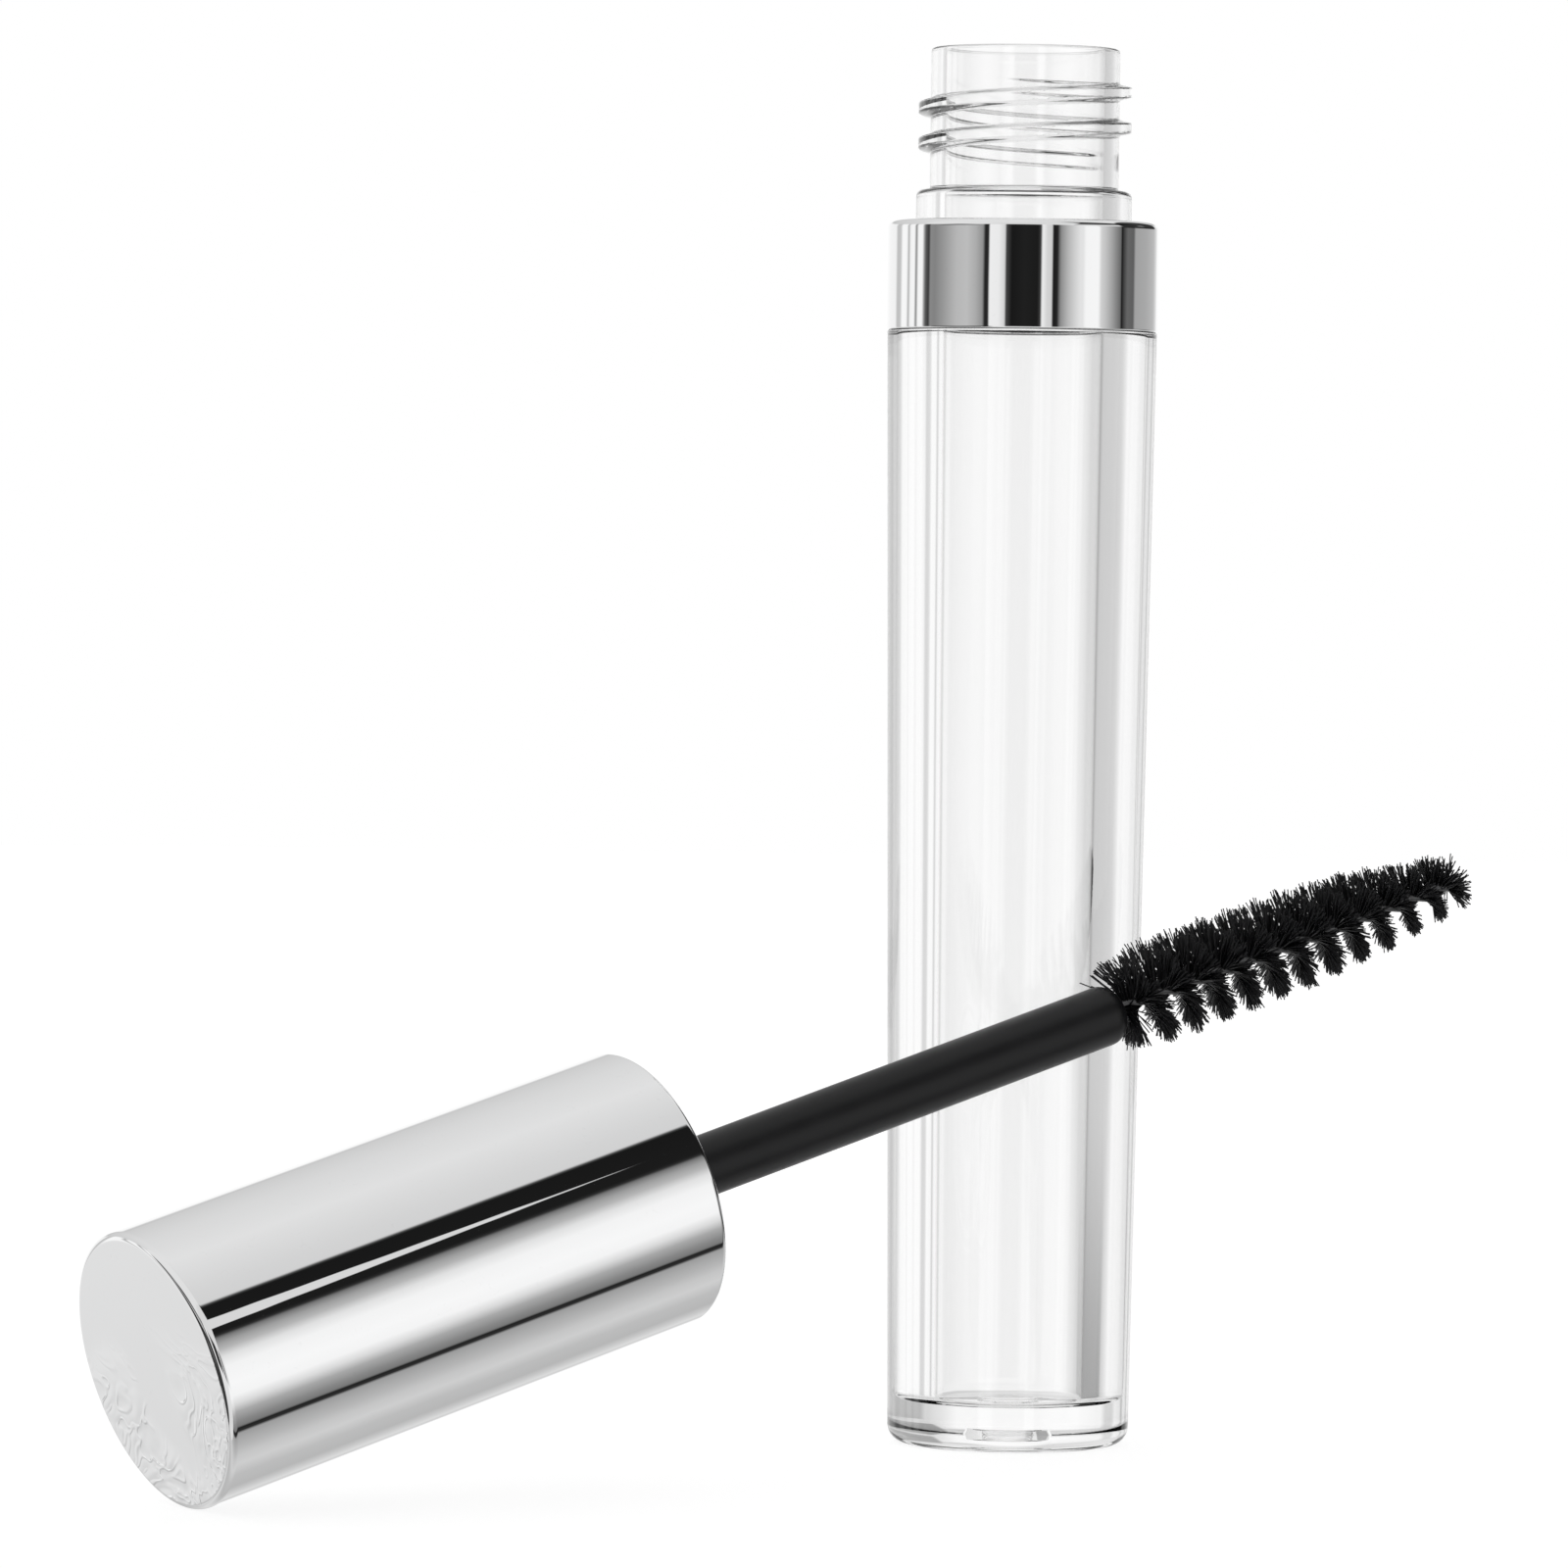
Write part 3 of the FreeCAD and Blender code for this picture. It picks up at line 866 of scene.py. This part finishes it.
def fibre_surface(path, angle, radius):
    """A closed three-sided tube round each path: at each point of a path, three corners at even angles in
    the plane square to the direction that the fibre points in."""
    count, rings = path.shape[:2]
    corner = np.arange(3)[:, None] * (2 * math.pi / 3)
    sideways = np.stack([-np.sin(angle), np.cos(angle), 0 * angle], axis=-1)[:, None]
    lengthwise = np.array([0.0, 0.0, 1.0])
    ring = np.cos(corner) * sideways + np.sin(corner) * lengthwise
    points = path[:, :, None] + radius * ring[:, None]
    sides = np.array([
        [row * 3 + n, row * 3 + (n + 1) % 3, row * 3 + 3 + (n + 1) % 3, row * 3 + 3 + n]
        for row in range(rings - 1) for n in range(3)
    ])
    last = (rings - 1) * 3
    ends = np.array([[2, 1, 0], [last, last + 1, last + 2]])
    first = np.arange(count)[:, None, None] * rings * 3
    quads, caps = (first + sides).reshape(-1, 4), (first + ends).reshape(-1, 3)
    return points.reshape(-1, 3), quads.tolist() + caps.tolist()


class MASCARA_OT_bristles(Operator):
    """Adds the bristles: fibres caught through the twisted wire, so that their ends follow its twist"""

    bl_idname = "mascara.bristles"
    bl_label = "Bristles"

    def execute(self, context):
        size = settings().brush
        root, tip, inner, _ = reach("bristles", *WAND)
        chance = np.random.default_rng(11)
        share = np.sort(chance.random(size.fibres))
        along = root + 0.25 * MM + share * (tip - root - 0.4 * MM)
        sides = [fibre_ends(chance, along, root, tip, half_turn) for half_turn in (0.0, math.pi)]
        angle, outermost, lean, curl = (np.concatenate(part)[:, None] for part in zip(*sides))
        caught = inner * 0.35
        station = np.array([0.0, 0.5, 1.0])
        out = caught + (outermost - caught) * station
        bend = angle + curl * station**2
        level = np.minimum(np.tile(along, 2)[:, None] + lean * station**2, tip)
        path = np.stack([out * np.cos(bend), out * np.sin(bend), level], axis=-1)
        fibres = fibre_surface(path, angle[:, 0], size.fibre_radius)
        put("nylon_bristles", fibres, nylon_fibre(),
            "applicator", "black_nylon", ["bristles"], *WAND)
        return {"FINISHED"}


# ---------------------------------------------------------------- stage

CAMERA_PLACE = (-0.01638, -0.650, 0.064)
CAMERA_TILT = 1.553  # degrees downwards
CAMERA_ROLL = 0.737  # degrees
LENS, SENSOR = 211.5, 36  # millimetres
FLOOR_RADIUS, FLOOR_TOP, FLOOR_BOTTOM = 1.2, -0.02 * MM, -1 * MM

# Light levels by degrees from straight in front, positive to the right: a dark flag before the lens
# between two white strips, thin flags, grey panels, and white walls with a few thin flags at the left.
LEFT_OF_LENS = [
    (-180, 1.0), (-140, 0.93), (-136, 0.55), (-130, 0.58), (-126, 1.0), (-119, 0.98), (-116, 0.45),
    (-113, 0.95), (-107.5, 0.98), (-105, 0.2), (-102, 0.97), (-97, 0.97), (-94.5, 0.3), (-92.5, 0.1),
    (-89, 0.04), (-87, 0.26), (-82, 0.24), (-72, 0.34), (-60, 0.5), (-50, 0.54), (-42, 0.44), (-36, 0.3),
    (-34, 0.02), (-31, 0.02), (-29.5, 0.9), (-22, 0.88), (-17, 0.7), (-15.5, 0.06), (-11, 0.01), (0, 0.015),
]
RIGHT_OF_LENS = [
    (0, 0.015), (11, 0.012), (13.5, 0.05), (15, 0.92), (19, 0.7), (23, 0.66), (24, 0.01), (28, 0.02),
    (31, 0.28), (38, 0.52), (48, 0.8), (58, 0.86), (72, 0.6), (84, 0.28), (90, 0.15), (91.5, 0.005),
    (94, 0.05), (99, 0.14), (107, 0.12), (110, 0.38), (128, 0.42), (146, 0.52), (154, 0.75), (160, 1.0),
    (180, 1.0),
]

# Light levels round the cap's axis, by degrees up from its side nearest the camera: a strip light low in
# front, a dark flag above it, a soft white roof, and a grey wall below past one thin flag.
BELOW_CAP = [
    (-180, 0.8), (-168, 0.5), (-152, 0.75), (-132, 0.5), (-115, 0.54), (-102, 0.66), (-92, 0.6), (-84, 0.5),
    (-76, 0.42), (-71, 0.36), (-69, 0.03), (-66, 0.015), (-64.5, 0.2), (-60, 0.26), (-52, 0.42),
    (-45, 0.75), (-38, 0.97), (-28, 1.0), (-14, 0.96), (-6, 0.8), (0, 0.5),
]
ABOVE_CAP = [
    (0, 0.5), (5, 0.36), (9, 0.2), (11, 0.03), (13, 0.012), (36, 0.01), (37.5, 0.08), (39, 0.68), (50, 0.7),
    (85, 0.8), (120, 0.73), (150, 0.64), (163, 0.45), (172, 0.85), (180, 0.8),
]


def around(tree, angle, before, after):
    """A light level by an angle in radians, from one list of levels by degrees below zero and one above."""
    below = [(1 + degrees / 180, level) for degrees, level in before]
    above = [(degrees / 180, level) for degrees, level in after]
    low = tree.add("ShaderNodeValToRGB", {"stops": below}, {0: angle / math.pi + 1})
    high = tree.add("ShaderNodeValToRGB", {"stops": above}, {0: angle / math.pi})
    return tree.blend(angle.math("GREATER_THAN", angle, 0), low, high)


class MASCARA_OT_studio(Operator):
    """Sets the stage: a pale floor, a white studio round it with its flags, and the camera"""

    bl_idname = "mascara.studio"
    bl_label = "Studio"

    def execute(self, context):
        self.make_world(context)
        self.make_floor()
        self.make_camera(context)
        context.scene.view_settings.view_transform = "Standard"
        return {"FINISHED"}

    def make_world(self, context):
        """White to the camera, and to everything else a studio whose levels go round the bottle near the
        horizon and round the cap's axis elsewhere."""
        world = bpy.data.worlds.new("studio")
        context.scene.world = world
        tree = NodeTree(world)
        direction = tree.add("ShaderNodeTexCoord", output="Generated")
        nearest = np.array([0.465, -0.858, 0.21])
        nearest = nearest - (nearest @ WAND_AXIS) * WAND_AXIS
        nearest /= np.linalg.norm(nearest)
        right, front = tree.dot(direction, (1, 0, 0)), tree.dot(direction, (0, -1, 0))
        back, height = tree.dot(direction, (0, 1, 0)), tree.dot(direction, (0, 0, 1))
        along, near = tree.dot(direction, WAND_AXIS), tree.dot(direction, nearest)
        over = tree.dot(direction, np.cross(nearest, WAND_AXIS))
        azimuth = right.math("ARCTAN2", right, front)
        climb = over.math("ARCTAN2", over, near)
        round_bottle = around(tree, azimuth, LEFT_OF_LENS, RIGHT_OF_LENS)
        round_cap = around(tree, climb, BELOW_CAP, ABOVE_CAP)

        # a thin strip light inside the flag, that narrows to nothing towards the brush end
        strip_middle, strip_taper, strip_tip = math.radians(21.5), math.radians(95), 0.474
        off_strip = (climb - strip_middle).size() - (strip_tip - along) * strip_taper
        strip = 1 - off_strip.eased(-0.004, 0.006)
        round_cap = tree.blend(strip * 0.9, round_cap, (0.8, 0.8, 0.8, 1))

        # the cap's side reflects the directions on a cone round its axis, so those take the cap's levels
        off_horizon, on_cone = height.size().eased(0.16, 0.26), along.close_to(0.45, 0.08, 0.14)
        level = tree.blend(off_horizon.at_least(on_cone), round_bottle, round_cap)
        level = tree.blend(back.eased(0.93, 0.97), level, WHITE)

        # a dark board off each end of the cap, which draws a line round its rims
        board = along.size().close_to(0.94, 0.05, 0.08) * height.size().eased(0.05, 0.09)
        level = tree.blend(board * 0.94, level, BLACK)

        # what is seen through the clear walls is a little lighter than what they reflect
        through = tree.add("ShaderNodeLightPath", output="Is Transmission Ray")
        level = tree.blend(through * 0.32, level, (1.08, 1.08, 1.08, 1))
        seen = tree.add("ShaderNodeLightPath", output="Is Camera Ray")
        shown = tree.blend(seen, level, WHITE)
        glow = tree.add("ShaderNodeBackground", None, {"Color": shown, "Strength": 1.0})
        tree.add("ShaderNodeOutputWorld", None, {"Surface": glow})

    def make_floor(self):
        """A wide pale disc that is nearly self-lit, so that only soft contact shadows show on it."""
        outline = np.array([
            [0, FLOOR_TOP], [FLOOR_RADIUS, FLOOR_TOP], [FLOOR_RADIUS, FLOOR_BOTTOM], [0, FLOOR_BOTTOM],
        ])
        points, faces = turned(outline, columns=96)
        mesh = bpy.data.meshes.new("floor")
        mesh.from_pydata(points, [], faces)
        material, tree = new_material("floor_paper")
        fleck = tree.noise(1.5 * MM, detail=3.0)
        tree.finish({
            "Base Color": tree.tint(fleck, (0.3, 0.3, 0.3), (0.33, 0.33, 0.33)),
            "Roughness": 0.9,
            "Emission Color": WHITE,
            "Emission Strength": 0.8,
        })
        mesh.materials.append(material)
        floor = bpy.data.objects.new("floor", mesh)
        bpy.context.scene.collection.objects.link(floor)
        floor.visible_glossy = False
        floor.visible_transmission = False

    def make_camera(self, context):
        """A long lens at the height of the bottle's middle, aimed a little downwards."""
        data = bpy.data.cameras.new("camera")
        data.sensor_width = SENSOR
        data.lens = LENS
        data.clip_start, data.clip_end = 0.01, 20
        camera = bpy.data.objects.new("camera", data)
        camera.location = CAMERA_PLACE
        pitch = Matrix.Rotation(math.radians(90 - CAMERA_TILT), 3, "X")
        roll = Matrix.Rotation(math.radians(CAMERA_ROLL), 3, "Z")
        camera.rotation_euler = (pitch @ roll).to_euler()
        context.scene.collection.objects.link(camera)
        context.scene.camera = camera


PIECES = (
    MASCARA_OT_bottle,
    MASCARA_OT_collar,
    MASCARA_OT_cap_shell,
    MASCARA_OT_cap_liner,
    MASCARA_OT_seal_washer,
    MASCARA_OT_wiper,
    MASCARA_OT_stem,
    MASCARA_OT_wire,
    MASCARA_OT_bristles,
    MASCARA_OT_studio,
)


class MASCARA_PT_tube(Panel):
    """Lists the pieces of the mascara tube and their sizes"""

    bl_idname = "MASCARA_PT_tube"
    bl_label = "Mascara tube"
    bl_space_type = "VIEW_3D"
    bl_region_type = "UI"
    bl_category = "Mascara"

    def draw(self, context):
        for piece in PIECES:
            self.layout.operator(piece.bl_idname)
        for group in ("bottle", "thread", "cap", "brush", "finishes"):
            box = self.layout.box()
            box.label(text=group.capitalize())
            sizes = getattr(settings(), group)
            for name in type(sizes).__annotations__:
                box.prop(sizes, name)


CLASSES = (BottleSizes, ThreadSizes, CapSizes, BrushSizes, Finishes, TubeSettings, *PIECES, MASCARA_PT_tube)


def register():
    for made in CLASSES:
        bpy.utils.register_class(made)
    bpy.types.Scene.mascara_tube = PointerProperty(type=TubeSettings)


def unregister():
    del bpy.types.Scene.mascara_tube
    for made in reversed(CLASSES):
        bpy.utils.unregister_class(made)


def main():
    register()
    for piece in PIECES:
        getattr(bpy.ops.mascara, piece.bl_idname.split(".")[1])()


if __name__ == "__main__":
    main()
